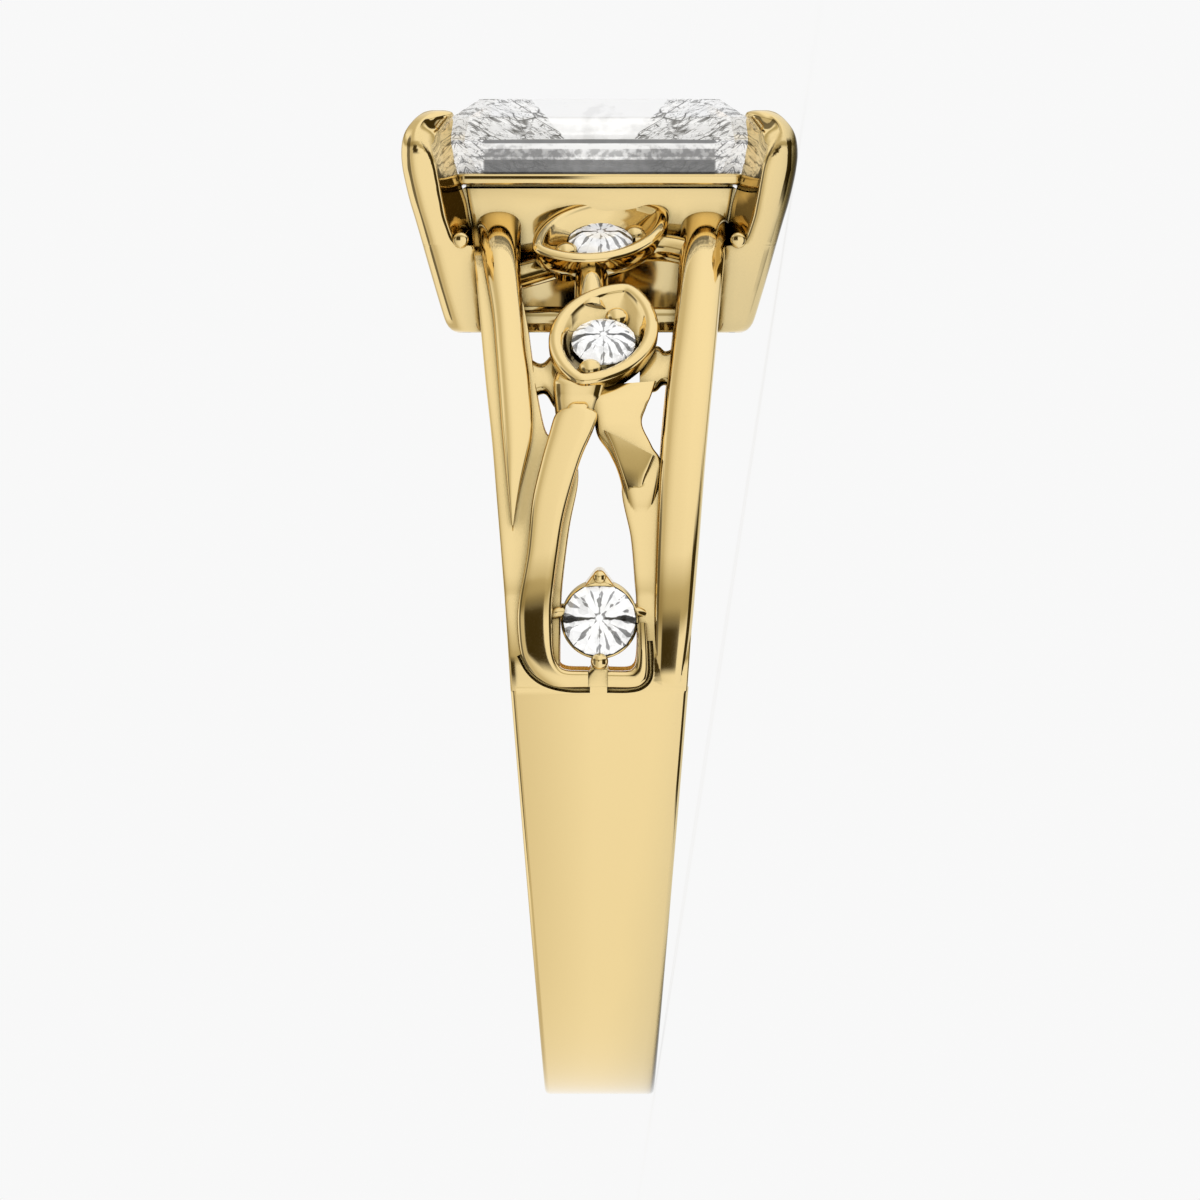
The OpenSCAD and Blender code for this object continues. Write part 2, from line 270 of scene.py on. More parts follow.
def ribbon(name, left_px, right_px, edge_r, rise, crown=((0, 0),), power=((0, 6),), tilt=0.0,
           nose=False, count=80):
    """Strip between two front-view edges, with walls that run straight back and a rounded top.

    Across the strip the top is half a superellipse: upright at the walls, edge_r lower there than
    the rise and crown higher in its middle. A greater power makes it flatter, and tilt leans it,
    in radians. rise, crown and power are tables of heights and values. A nose is a quarter turn
    over the first end."""
    left = smooth_path(seen_at(left_px), count)
    right = smooth_path(seen_at(right_px), count)
    swell = np.zeros(count)
    if nose:
        swell = np.concatenate([np.linspace(math.pi / 2 - 0.05, 0, NOSE_STEPS, endpoint=False), swell])
        left = np.concatenate([np.repeat(left[:1], NOSE_STEPS, axis=0), left])
        right = np.concatenate([np.repeat(right[:1], NOSE_STEPS, axis=0), right])
        away = left[NOSE_STEPS] - left[NOSE_STEPS + 1] + right[NOSE_STEPS] - right[NOSE_STEPS + 1]
        away = away / np.linalg.norm(away)
        over = (right[0] - left[0]) / np.linalg.norm(right[0] - left[0])
        out = edge_r * np.sin(swell)[:, None] * away
        draw = edge_r * (1 - np.cos(swell))[:, None] * over
        left, right = left + out + draw, right + out - draw
    turn = np.linspace(0, math.pi, ACROSS_STEPS)
    middle = (left[:, 1] + right[:, 1]) / 2
    exponent = 2 / level_at(power, middle)[:, None]
    across = (1 - np.sign(np.cos(turn)) * np.abs(np.cos(turn)) ** exponent) / 2
    high = np.abs(np.sin(turn)) ** exponent
    widths = np.linalg.norm(right - left, axis=1)
    r = np.minimum(edge_r, NARROW_EDGE_SHARE * widths)
    flat = left[:, None] + (right - left)[:, None] * across[:, :, None]
    bow = level_at(crown, middle) * r / edge_r
    lift = high * (r + bow)[:, None] - r[:, None] + tilt * (across - 0.5) * widths[:, None]
    lift = lift - edge_r * (1 - np.cos(swell))[:, None] + level_at(rise, flat[:, :, 1])
    top = on_shoulder(flat[:, :, 0], flat[:, :, 1], lift)
    low = behind_shoulder(flat[:, [0, -1], 0], flat[:, [0, -1], 1])
    return closed_shell(name, np.concatenate([low[:, :1], top, low[:, 1:]], axis=1))


# Edges of the strips as the photograph shows them, from the head down. The low side strips run
# from the outline to the openings; the raised rails, the stem and the lips stand on them.
LEFT_OUTLINE = [(467, 190), (478, 300), (485.5, 380), (492, 440), (497, 500), (505, 600), (510.8, 690)]
LEFT_OPENINGS = [(512, 190), (516, 260), (527, 322), (531, 350), (535, 380), (540, 410), (546, 433),
                 (556, 441), (574, 458), (578, 482), (569.6, 527), (563.5, 574), (561, 604), (560, 640),
                 (560, 690)]
RIGHT_OUTLINE = [(726, 190), (716, 300), (709, 380), (703, 440), (700, 500), (693.4, 600), (687.2, 690)]
RIGHT_OPENINGS = [(690, 190), (688, 300), (682, 390), (674, 430), (660, 458), (640, 470), (622, 488),
                  (631, 539), (635, 584), (636.5, 604), (637, 640), (637, 690)]
LEFT_FACE_OUT = [(473, 190), (476, 225), (484.6, 272), (491.5, 310), (495.3, 348), (498.4, 386), (502.2, 435),
                 (508, 490), (512.4, 525)]
LEFT_FACE_IN = [(523, 190), (521, 225), (521, 272), (523, 310), (526, 348), (531, 386), (532.8, 435),
                (521, 486), (513.4, 525)]
RIGHT_FACE_OUT = [(732, 190), (728.5, 225), (720.8, 300), (713, 380), (705.5, 460), (698.5, 550), (692, 625),
                  (686, 672), (685, 700)]
RIGHT_FACE_IN = [(680, 190), (681, 225), (679, 261), (676, 302), (671.3, 348), (666, 390), (661.4, 441),
                 (657.5, 502), (654.5, 584), (653, 665), (653, 700)]
STEM_OUT = [(567, 408), (560, 410), (554.5, 416), (549, 434), (541, 462), (532, 502), (527, 553),
            (519, 600), (517.5, 625), (521, 655), (531, 672), (546, 683), (560, 687), (588, 687)]
STEM_IN = [(588, 408), (595, 410.5), (597.5, 416), (593, 431), (580, 462), (565.5, 513), (559, 553),
           (555, 584), (553, 604), (553, 630), (554, 652), (558, 663), (566, 669), (588, 670)]
BRANCH_OUT = [(588, 386), (594, 420), (598, 437), (610, 455), (620.6, 482), (631, 539)]
BRANCH_IN = [(656, 381), (651, 396), (646, 408), (642, 424), (652, 446), (662, 470), (650, 539)]
NECK_OUT = [(558, 366), (553, 385), (556, 420)]
NECK_IN = [(612, 368), (606, 385), (597, 420)]
LIP_LOW = [(608, 687), (633, 687), (643, 683), (648, 674), (648, 650), (646, 622)]
LIP_HIGH = [(608, 670), (627, 670), (633.5, 667), (636, 660), (637, 645), (637, 622)]
WEDGE_LEFT = [(604, 430), (612, 448), (624, 482), (637, 519)]
WEDGE_RIGHT = [(655, 456), (650, 468), (644, 484), (638.5, 519)]
FOOT_GROOVE = [(520, 654), (527.5, 668.5), (538, 679), (552, 685.5), (570, 688.7), (590, 689)]
LIP_GROOVE = [(607, 689), (628, 689), (641.5, 686), (649.5, 677), (650.5, 660), (649.5, 640)]
LEFT_WEB_HIGH = [(524, 352), (534, 361), (543, 363), (552, 354), (560, 345)]
LEFT_WEB_LOW = [(526, 402), (537, 396), (546, 395), (555, 408), (566, 412)]
RIGHT_WEB_HIGH = [(640, 345), (658, 346), (665, 351), (673, 348), (682, 340)]
RIGHT_WEB_LOW = [(640, 394), (655, 392), (662, 386), (668, 386), (678, 392)]

# Heights of the strips above the shoulder's arc, as rows of height up the ring and value
SIDE_RISE = [(-0.2, -0.002), (0.4, -0.002), (0.7, -0.02), (2.2, -0.2), (3.5, -0.24), (12, -0.24)]
RAIL_RISE = [(-0.4, -0.05), (0.0, -0.004), (12, 0.0)]
RAIL_CROWN = [(-0.2, 0.0), (0.4, 0.02), (3, 0.03), (8, 0.07), (11, 0.12)]
RAIL_POWER = [(0, 4.5), (8, 3.6), (10.6, 2.6), (11.5, 2.2)]
STEM_RISE = [(-0.1, 0.08), (1.0, 0.08), (2.6, 0.13), (7, 0.13)]
STEM_CROWN = [(0, 0.02), (2.5, 0.04), (6, 0.09)]
STEM_POWER = [(0, 4), (2.5, 5), (7, 5)]
BRANCH_RISE = [(3.6, -0.4), (4.4, -0.3), (5.6, -0.12), (6.5, 0.0), (7.1, -0.01), (7.5, -0.09), (8.0, -0.25)]
BRANCH_CROWN = [(4, 0.08), (6, 0.03), (8, 0.1)]
BRANCH_POWER = [(3.6, 3), (5.6, 4.5), (7, 6)]
WEDGE_RISE = [(4.0, -0.44), (4.8, -0.2), (6.5, 0.28)]
NECK_RISE = [(6.6, -0.05), (7.2, 0.08), (7.55, 0.2), (8.1, -0.1)]


def shoulder_strips():
    """All strips of one shoulder: low side strips, rails, stem, branch, leaf neck, lip and webs."""
    side = {"power": ((0, 12),), "count": 110}
    web = {"rise": [(7, -0.35)], "crown": [(7, 0.1)], "power": ((0, 2.5),), "count": 30}
    return [
        ribbon("left_side", LEFT_OUTLINE, LEFT_OPENINGS, EDGE_R, SIDE_RISE, **side),
        ribbon("right_side", RIGHT_OUTLINE, RIGHT_OPENINGS, EDGE_R, SIDE_RISE, **side),
        ribbon("left_rail", LEFT_FACE_OUT, LEFT_FACE_IN, 0.3, RAIL_RISE, RAIL_CROWN, RAIL_POWER),
        ribbon("right_rail", RIGHT_FACE_OUT, RIGHT_FACE_IN, 0.3, RAIL_RISE, RAIL_CROWN, RAIL_POWER,
               tilt=-0.03),
        ribbon("stem", STEM_OUT, STEM_IN, 0.2, STEM_RISE, STEM_CROWN, STEM_POWER, tilt=0.04, nose=True),
        ribbon("branch", BRANCH_OUT, BRANCH_IN, 0.2, BRANCH_RISE, BRANCH_CROWN, BRANCH_POWER),
        ribbon("branch_wedge", WEDGE_LEFT, WEDGE_RIGHT, 0.15, WEDGE_RISE, power=((0, 7),), tilt=0.012,
               count=40),
        ribbon("leaf_neck", NECK_OUT, NECK_IN, 0.32, NECK_RISE, [(6, 0.05)], ((0, 3.4),), count=30),
        ribbon("window_lip", LIP_LOW, LIP_HIGH, 0.16, [(0, 0.08)], [(0, 0.03)], ((0, 3.5),)),
        ribbon("left_web", LEFT_WEB_HIGH, LEFT_WEB_LOW, 0.3, **web),
        ribbon("right_web", RIGHT_WEB_HIGH, RIGHT_WEB_LOW, 0.3, **web),
    ]


# Leaves: middle of the face, how far it looks up, and the turn of its long axis, in degrees
LEAF_SEATS = {
    "lower": (0.10, -7.45, 8.66, 46, 20),
    "upper": (0.03, -4.40, 11.22, 63, 61),
}
# The upper leaf's cup looks up a little less than the stone in it
LEAF_CUPS = {"lower": LEAF_SEATS["lower"], "upper": (0.03, -4.40, 11.30, 56, 61)}
LEAF_L = 3.9
LEAF_W = 2.66
LEAF_RISE = 0.25
LEAF_RIM = 0.36
LEAF_RIM_H = 0.13
LEAF_STONE_D = 1.62
LEAF_STONE_SINK = 0.12


def leaf_outline(count=120):
    """Leaf seen on its face: two equal arcs that meet in two soft points, turned by its seat.

    At each angle the radius is where the ray meets the nearer arc; a short running mean then
    rounds the points."""
    a = full_turn(count)
    r = (LEAF_L ** 2 + LEAF_W ** 2) / (4 * LEAF_W)
    c = r - LEAF_W / 2
    s = np.abs(np.cos(a))
    reach = -c * s + np.sqrt((c * s) ** 2 - c ** 2 + r ** 2)
    return softened(np.stack([reach * np.cos(a), reach * np.sin(a)], axis=1), 6)


def turned(flat, degrees):
    """Turns flat points clockwise."""
    c, s = math.cos(math.radians(degrees)), math.sin(math.radians(degrees))
    return np.stack([flat[:, 0] * c + flat[:, 1] * s, -flat[:, 0] * s + flat[:, 1] * c], axis=1)


def leaf_bezel(name, seat):
    """Leaf cup: under side, outer wall, half-round rim, then a bowl that turns into the stone's circle.

    Each ring mixes the leaf outline, drawn in by an inset, with a circle about the stone."""
    outline = turned(leaf_outline(), seat[4])
    outward = np.roll(outline, -1, axis=0) - np.roll(outline, 1, axis=0)
    outward = np.stack([outward[:, 1], -outward[:, 0]], axis=1)
    outward /= np.linalg.norm(outward, axis=1, keepdims=True)
    angle = np.arctan2(outline[:, 1] + LEAF_RISE, outline[:, 0])
    circle = np.stack([np.cos(angle), np.sin(angle)], axis=1)
    rim = LEAF_RIM / 2
    over = np.linspace(0, math.pi * 0.86, 13)
    # inset from the outline, height, share of the circle, radius of the circle
    profile = [(0.9, -1.25, 0.5, 0.35), (0.75, -1.18, 0.3, 0.4), (0.45, -0.95, 0.1, 0.5), (0.2, -0.7, 0, 0),
               (0.06, -0.5, 0, 0), (0.01, -0.35, 0, 0), (0.0, -0.2, 0, 0)]
    profile += [(rim - rim * math.cos(t), LEAF_RIM_H * (math.sin(t) - 1), 0, 0) for t in over]
    profile += [(LEAF_RIM + 0.02, -0.12, 0.15, 1.0), (LEAF_RIM + 0.05, -0.18, 0.4, 0.96),
                (LEAF_RIM + 0.06, -0.24, 0.7, 0.91), (LEAF_RIM, -0.3, 1, 0.85), (LEAF_RIM, -0.42, 1, 0.82),
                (LEAF_RIM, -0.7, 1, 0.5), (LEAF_RIM, -0.95, 1, 0.12)]
    rings = []
    for inset, height, share, radius in profile:
        leaf = outline - outward * inset + [0, LEAF_RISE]
        flat = leaf * (1 - share) + circle * radius * share
        rings.append(on_seat(seat, flat[:, 0], flat[:, 1], np.full(len(flat), height)))
    return closed_shell(name, rings)


POST_STEPS = 28
TUBE_STEPS = 20


def ball_post(name, seat, u, v, low, high, r, stretch=1.0):
    """Round post with a domed top: circles that shrink by a quarter circle near the top."""
    turn = np.linspace(0, math.pi / 2 - 0.08, 7)
    dome = r * 0.8
    levels = [(low, r)] + [(high - dome + dome * math.sin(t), r * math.cos(t)) for t in turn]
    a = full_turn(POST_STEPS)
    return closed_shell(name, [
        on_seat(seat, u + q * np.cos(a) * stretch, v + q * np.sin(a), np.full(POST_STEPS, h))
        for h, q in levels])


def tube(name, points, r, count=24):
    """Round bar along a smooth path in space: circles square to the path."""
    path = smooth_path(points, count)
    along = np.gradient(path, axis=0)
    along /= np.linalg.norm(along, axis=1, keepdims=True)
    up = np.tile([0.0, 0.3, 1.0], (count, 1))
    side = np.cross(along, up)
    side /= np.linalg.norm(side, axis=1, keepdims=True)
    other = np.cross(along, side)
    radii = np.broadcast_to(np.asarray(r, float), (count,))
    a = full_turn(TUBE_STEPS)
    rings = path[:, None] + radii[:, None, None] * (np.cos(a)[None, :, None] * side[:, None]
                                                    + np.sin(a)[None, :, None] * other[:, None])
    return closed_shell(name, rings)


def leaf_parts():
    """Both leaves of one shoulder with their bead claws, links to the rails and the post between."""
    parts = []
    for name, seat in LEAF_SEATS.items():
        parts.append(leaf_bezel(name + "_leaf", LEAF_CUPS[name]))
        reach = LEAF_STONE_D / 2 + 0.17
        for end, sign in (("top", 1), ("foot", -1)):
            u, v = turned(np.array([[0, sign * reach]]), seat[4])[0]
            parts.append(ball_post(f"{name}_claw_{end}", seat, u, v, -0.9, 0.02, 0.3))
    parts.append(tube("upper_link_left", [(-2.3, -4.5, 10.1), (-1.6, -4.3, 10.3), (-0.9, -4.1, 10.5)], 0.32))
    parts.append(tube("upper_link_right", [(2.6, -4.3, 10.7), (1.7, -4.0, 10.9), (0.9, -4.0, 10.9)], 0.34))
    parts.append(tube("leaf_post", [(-0.2, -6.3, 9.2), (-0.2, -5.4, 9.85), (-0.2, -4.3, 10.5)], 0.42))
    return parts


# Shoulder stone and its collet
GROOVE_R = 0.085
SHOULDER_SEAT = (0.0, -10.42, 1.62, 8.7, 0)
SHOULDER_STONE_D = 1.82
NECK_LEFT = [(578, 694), (579, 682), (584, 674), (591, 668), (592, 658)]
NECK_RIGHT = [(621, 694), (620, 682), (615, 674), (608, 668), (607, 658)]
COLLET_NECK_RISE = [(-0.2, -0.006), (0.4, 0), (0.8, -0.12)]
CUP_STEPS = 72
FIN_STEPS = 48


def collet_parts():
    """Cup under the shoulder stone, its two claws, the neck below it and its two side links."""
    r = SHOULDER_STONE_D / 2
    a = full_turn(CUP_STEPS)
    # radius and height of each ring: up the cup's outside, over its rim and down inside
    profile = [(0.3, -1.5), (0.5, -1.3), (0.75, -0.8), (r - 0.02, -0.4), (r + 0.045, -0.2),
               (r + 0.055, -0.12), (r + 0.045, -0.07), (r + 0.02, -0.05), (r - 0.01, -0.08),
               (0.5, -0.6), (0.1, -0.95)]
    cup = closed_shell("collet", [
        on_seat(SHOULDER_SEAT, q * np.cos(a), q * np.sin(a), np.full(CUP_STEPS, h)) for q, h in profile])
    top_claw = ball_post("collet_claw_top", SHOULDER_SEAT, 0, r + 0.16, -0.9, 0.2, 0.17)
    low_claw = ball_post("collet_claw_foot", SHOULDER_SEAT, 0, -r - 0.13, -0.9, 0.16, 0.2, 1.1)
    neck = ribbon("collet_neck", NECK_LEFT, NECK_RIGHT, 0.08, COLLET_NECK_RISE, count=24)
    left = tube("collet_link_left", [(-1.25, -10.2, 1.75), (-1.05, -10.24, 1.8), (-0.8, -10.2, 1.8)], 0.14)
    right = tube("collet_link_right", [(1.12, -10.1, 1.75), (0.98, -10.16, 1.8), (0.8, -10.2, 1.8)], 0.14)
    return [cup, claw_fin(r), top_claw, low_claw, neck, left, right]


def foot_grooves():
    """Fine grooves where the stem's foot and the window's lip meet the band."""
    cutters = []
    for name, path_px in (("foot_groove", FOOT_GROOVE), ("lip_groove", LIP_GROOVE)):
        flat = seen_at(path_px)
        cutters.append(tube(name, on_shoulder(flat[:, 0], flat[:, 1], -GROOVE_R / 2), GROOVE_R, 40))
    return cutters


def claw_fin(r):
    """Three-cornered web behind the top claw: a triangle with soft corners, rounded at its edge.

    The triangle's sides are sampled evenly, softened by a running mean and drawn in for the top."""
    corners = np.array([(-0.42, r - 0.1), (0.42, r - 0.1), (0.08, r + 0.36), (-0.08, r + 0.36)])
    loop = softened(even_loop(corners, FIN_STEPS), 3)
    middle = loop.mean(0)
    levels = [(-0.8, 1.0), (-0.05, 1.0), (0.03, 0.93), (0.08, 0.75), (0.1, 0.5)]
    shrunk = [(middle + (loop - middle) * share, height) for height, share in levels]
    return closed_shell("claw_fin", [
        on_seat(SHOULDER_SEAT, flat[:, 0], flat[:, 1], np.full(FIN_STEPS, height))
        for flat, height in shrunk])


# Head
QUARTERS = [(1, 1), (-1, 1), (-1, -1), (1, -1)]
CORNER_STEPS = 7
HOLLOW_LOW_Z = 7.5
HOLLOW_HIGH_Z = 12.0
WINDOW_HALF = 2.2
WINDOW_LOW_Z = HEAD_LOW_Z + 0.85


def rounded_square(half, r):
    """Closed loop of a square with round corners, as x and y."""
    turns = np.linspace(0, math.pi / 2, CORNER_STEPS)
    corners = []
    for q, (sx, sy) in enumerate(QUARTERS):
        corners.append(np.stack([sx * (half - r) + r * np.cos(turns + q * math.pi / 2),
                                 sy * (half - r) + r * np.sin(turns + q * math.pi / 2)], axis=1))
    return np.concatenate(corners)


def square_stack(name, levels):
    """Rounded squares stacked by height: each level is height, half width and corner radius."""
    return closed_shell(name, [np.insert(rounded_square(half, r), 2, z, axis=1) for z, half, r in levels])


def head_parts():
    """Head: tapering wall, rolled collar, lower rail and side bars, all hollow after head_cuts()."""
    low, top = HEAD_LOW_Z, COLLAR_Z - COLLAR_H
    groove = 0.1
    wall = square_stack("head_wall", [
        (low, wall_half(low) - 0.05, 0.2), (low + 0.05, wall_half(low), 0.2),
        (top - groove, wall_half(top - groove), 0.2), (top - groove / 2, wall_half(top) - groove, 0.2),
        (top + 0.05, wall_half(top) - groove, 0.2)])
    half, edge = COLLAR_HALF, 0.07
    turn = np.linspace(0, math.pi / 2, 6)
    roll = [(top + edge - edge * math.cos(t), half - edge + edge * math.sin(t), 0.3) for t in turn]
    roll += [(COLLAR_Z - edge + edge * math.sin(t), half - edge + edge * math.cos(t), 0.3) for t in turn]
    collar = square_stack("head_collar", [(top, WALL_TOP_HALF - 0.3, 0.2)] + roll)
    middle = low + 0.34
    lower = square_stack("head_lower_rail", [
        (middle + 0.32 * math.sin(t), wall_half(middle) + 0.02 + 0.12 * math.cos(t), 0.2)
        for t in np.linspace(-math.pi / 2, math.pi / 2, 9)])
    return [wall, collar, lower, gallery_bar("gallery_bar_left", -1), gallery_bar("gallery_bar_right", 1)]


def gallery_bar(name, s):
    """Round bar along the head's side, with softly turned ends that show in front of the claws."""
    x = s * (wall_half(BAR_Z) + 0.28)
    turn = np.linspace(0, math.pi / 2 - 0.1, 5)
    ends = [(BAR_REACH - BAR_END_R + BAR_END_R * math.sin(t), BAR_R - BAR_END_R + BAR_END_R * math.cos(t))
            for t in turn]
    stations = [(-y, r) for y, r in ends[::-1]] + ends
    a = full_turn(POST_STEPS)
    return closed_shell(name, [
        np.stack([x + r * np.cos(a), np.full(POST_STEPS, y), BAR_Z + r * np.sin(a)], axis=1)
        for y, r in stations])


def head_cuts():
    """What is taken out of the head: its hollow, the bevelled seat and the windows at the sides."""
    hollow = square_stack("hollow", [(z, wall_half(z) - WALL_T, 0.12) for z in (HOLLOW_LOW_Z, HOLLOW_HIGH_Z)])
    seat = square_stack("seat", [(11.9, 2.7, 0.12), (12.1, 2.75, 0.12), (13.1, 3.78, 0.2)])
    slot = rounded_box_profile(WINDOW_HALF, WINDOW_LOW_Z, HOLLOW_HIGH_Z, 0.3)
    window = closed_shell("window", [np.insert(slot, 0, x, axis=1) for x in (-6, 6)])
    return [hollow, seat, window]


# Claw: height, outer reach, reach of the ridges, inner reach and roundness, from the foot up
CLAW_LEVELS = [
    (8.80, 3.58, 2.90, 2.40, 0.25), (8.84, 3.69, 2.92, 2.40, 0.12), (8.95, 3.80, 2.95, 2.40, 0.05),
    (9.20, 3.91, 2.95, 2.40, 0.02), (10.2, 4.21, 3.00, 2.50, 0.02), (10.9, 4.41, 3.10, 2.60, 0.02),
    (11.05, 4.45, 3.60, 3.00, 0.02), (11.6, 4.61, 3.85, 3.20, 0.02), (12.1, 4.76, 3.96, 3.30, 0.02),
    (12.7, 4.90, 4.06, 3.50, 0.02), (13.0, 4.95, 4.12, 3.58, 0.02), (13.3, 4.97, 4.24, 3.62, 0.03),
    (13.6, 4.945, 4.41, 3.60, 0.06), (13.85, 4.88, 4.54, 3.56, 0.20), (14.05, 4.77, 4.50, 3.54, 0.50),
    (14.2, 4.62, 4.36, 3.58, 0.80), (14.31, 4.42, 4.18, 3.68, 1.00), (14.36, 4.25, 4.04, 3.84, 1.00)]
CLAW_STEPS = 70
CLAW_LOOP_STEPS = 60
CLAW_CREST = 0.2
HOLE_STEPS = 240
HOLE_REACH = 9


def claw_loop(outer, ridge, inner, roundness):
    """Section of a claw: a five-sided outline with its ridges in front and its point inwards.

    The outline is sampled evenly along its sides, mixed with a circle by the roundness, and
    softened by a running mean."""
    corners = np.array([(outer, ridge), (outer, outer - CLAW_CREST), (outer - CLAW_CREST, outer),
                        (ridge, outer), (inner, inner)])
    loop = even_loop(corners, CLAW_LOOP_STEPS)
    middle = (outer + inner) / 2
    angle = np.arctan2(loop[:, 1] - middle, loop[:, 0] - middle)
    circle = middle + (outer - inner) / 2 * np.stack([np.cos(angle), np.sin(angle)], axis=1)
    return softened(loop * (1 - roundness) + circle * roundness, 2)


def claw(name, sx, sy):
    """Corner claw: five-sided sections stacked by height, which lean out and then curl in."""
    rings = []
    for z, outer, ridge, inner, roundness in smooth_path(CLAW_LEVELS, CLAW_STEPS):
        loop = claw_loop(outer, ridge, inner, roundness)
        rings.append(np.insert(loop * [sx, sy], 2, z, axis=1))
    return closed_shell(name, rings)


def claws():
    """The four corner claws."""
    return [claw(f"claw_{i}", sx, sy) for i, (sx, sy) in enumerate(QUARTERS)]


def finger_cut():
    """Cylinder of the finger hole."""
    a = full_turn(HOLE_STEPS)
    loop = np.stack([np.zeros(HOLE_STEPS), FINGER_R * np.cos(a), FINGER_R * np.sin(a)], axis=1)
    return closed_shell("finger", [loop + [-HOLE_REACH, 0, 0], loop + [HOLE_REACH, 0, 0]])


def stone_space():
    """Room for the square stone between the claws: its outline and a small gap, open at the top."""
    outline = [(12.6, 3.5), (13.5, GIRDLE_HALF), (13.65, GIRDLE_HALF), (14.22, CROWN_STEP_HALF)]
    levels = [(z, half + STONE_GAP, 0.2) for z, half in outline]
    return square_stack("stone_space", levels + [(14.9, 2.6, 0.2)])


def fused(name, parts, cuts):
    """One closed mesh: the parts joined into one body, then the cuts taken out of it."""
    body = parts[0]
    body.name = name
    for operation, group in (("UNION", parts[1:]), ("DIFFERENCE", cuts)):
        for other in group:
            step = body.modifiers.new("step", "BOOLEAN")
            step.operation = operation
            step.solver = "MANIFOLD"
            step.object = other
        depsgraph = bpy.context.evaluated_depsgraph_get()
        result = bpy.data.meshes.new_from_object(body.evaluated_get(depsgraph))
        body.modifiers.clear()
        body.data = result
        for other in group:
            bpy.data.objects.remove(other)
    return body


def finish_mesh(piece, smooth_deg=32):
    """Lays the mesh down in metres and shades it smooth up to an angle."""
    mesh = piece.data
    points = np.zeros(len(mesh.vertices) * 3)
    mesh.vertices.foreach_get("co", points)
    mesh.vertices.foreach_set("co", laid_down(points.reshape(-1, 3)).ravel())
    mesh.update()
    mesh.shade_smooth()
    mesh.set_sharp_from_angle(angle=math.radians(smooth_deg))
    return piece


def ring_mount():
    """All of the gold as one mesh: band, both shoulders, head and claws, less the cuts."""
    front = shoulder_strips() + leaf_parts() + collet_parts()
    back = [mirrored(part) for part in front]
    parts = [plain_band()] + front + back + head_parts() + claws()
    grooves = foot_grooves()
    grooves += [mirrored(groove) for groove in grooves]
    body = fused("ring_mount", parts, [finger_cut(), stone_space()] + head_cuts() + grooves)
    return finish_mesh(body)


# Stones
STONE_SEED = 5
# Painted glint: the darkest of the random brightnesses that the stones' flats get
FACET_GLINT_DARKEST = 0.93
SHARD_SLOPE = 0.45
SHARD_STRETCH = (4.0, 1.0, 1.5)


def cut_stone(name, points, placed, turned_over=False):
    """Closed stone whose flats are the faces of the hull round its corner points.

    The stone is built in its own axes, which its points keep as the attribute cut, and each flat
    keeps a painted glint, a brightness of its own. placed() then gives every corner its place in metres."""
    mesh = bpy.data.meshes.new(name)
    work = bmesh.new()
    for p in points:
        work.verts.new(p)
    bmesh.ops.convex_hull(work, input=work.verts)
    bmesh.ops.dissolve_limit(work, angle_limit=math.radians(0.5), verts=work.verts, edges=work.edges)
    bmesh.ops.recalc_face_normals(work, faces=work.faces)
    work.to_mesh(mesh)
    work.free()
    own = np.zeros(len(mesh.vertices) * 3)
    mesh.vertices.foreach_get("co", own)
    mesh.attributes.new("cut", "FLOAT_VECTOR", "POINT").data.foreach_set("vector", own)
    # Painted glint: each flat gets a random brightness of its own
    tones = np.random.default_rng(STONE_SEED).uniform(FACET_GLINT_DARKEST, 1.0, len(mesh.polygons))
    mesh.attributes.new("facet_glint", "FLOAT", "FACE").data.foreach_set("value", tones)
    mesh.vertices.foreach_set("co", placed(own.reshape(-1, 3)).ravel())
    if turned_over:
        mesh.flip_normals()
    mesh.update()
    return in_scene(name, mesh)


def circle_points(n, r, h, turn=0.0):
    """Corner points of a regular ring, turned by a share of one step."""
    a = 2 * math.pi * (np.arange(n) + turn) / n
    return np.stack([r * np.cos(a), r * np.sin(a), np.full(n, h)], axis=1)


def round_stone_points():
    """Corners of a round brilliant of radius 1: table, stars, girdle, lower halves and point."""
    return np.concatenate([
        circle_points(8, 0.57, 0.30), circle_points(8, 0.79, 0.196, 0.5),
        circle_points(16, 1.0, 0.0), circle_points(16, 1.0, -0.06),
        circle_points(8, 0.3, -0.67), circle_points(1, 0.0, -0.91)])


def round_stone(name, seat, r, sink, back):
    """Round stone of radius r on a seat of the front shoulder, or mirrored onto the back one."""
    def placed(own):
        """The stone's own points on its seat, in metres."""
        at = on_seat(seat, own[:, 0] * r, own[:, 1] * r, own[:, 2] * r - sink)
        return laid_down(at * [1, -1, 1] if back else at)
    return cut_stone(name, round_stone_points(), placed, turned_over=back)


def square_corners(half, cut, z):
    """Eight corners of a square with cut corners at a height."""
    loop = [(half, half - cut), (half - cut, half)]
    points = []
    for q in range(4):
        c, s = math.cos(q * math.pi / 2), math.sin(q * math.pi / 2)
        points += [(x * c - y * s, x * s + y * c, z) for x, y in loop]
    return np.array(points)


def centre_stone():
    """Square stone: table, two crown steps, girdle, and below it two steps down to a point."""
    points = np.concatenate([
        square_corners(TABLE_HALF, 0.5, TABLE_Z),
        square_corners(CROWN_STEP_HALF, 0.42, CROWN_STEP_Z),
        square_corners(GIRDLE_HALF, 0.4, GIRDLE_TOP_Z), square_corners(GIRDLE_HALF, 0.4, GIRDLE_LOW_Z),
        square_corners(3.55, 0.5, STEP_LOW_Z), square_corners(2.3, 0.5, 11.25),
        circle_points(4, 0.05, 9.5, 0.5)])
    return cut_stone("square_stone", points, laid_down)
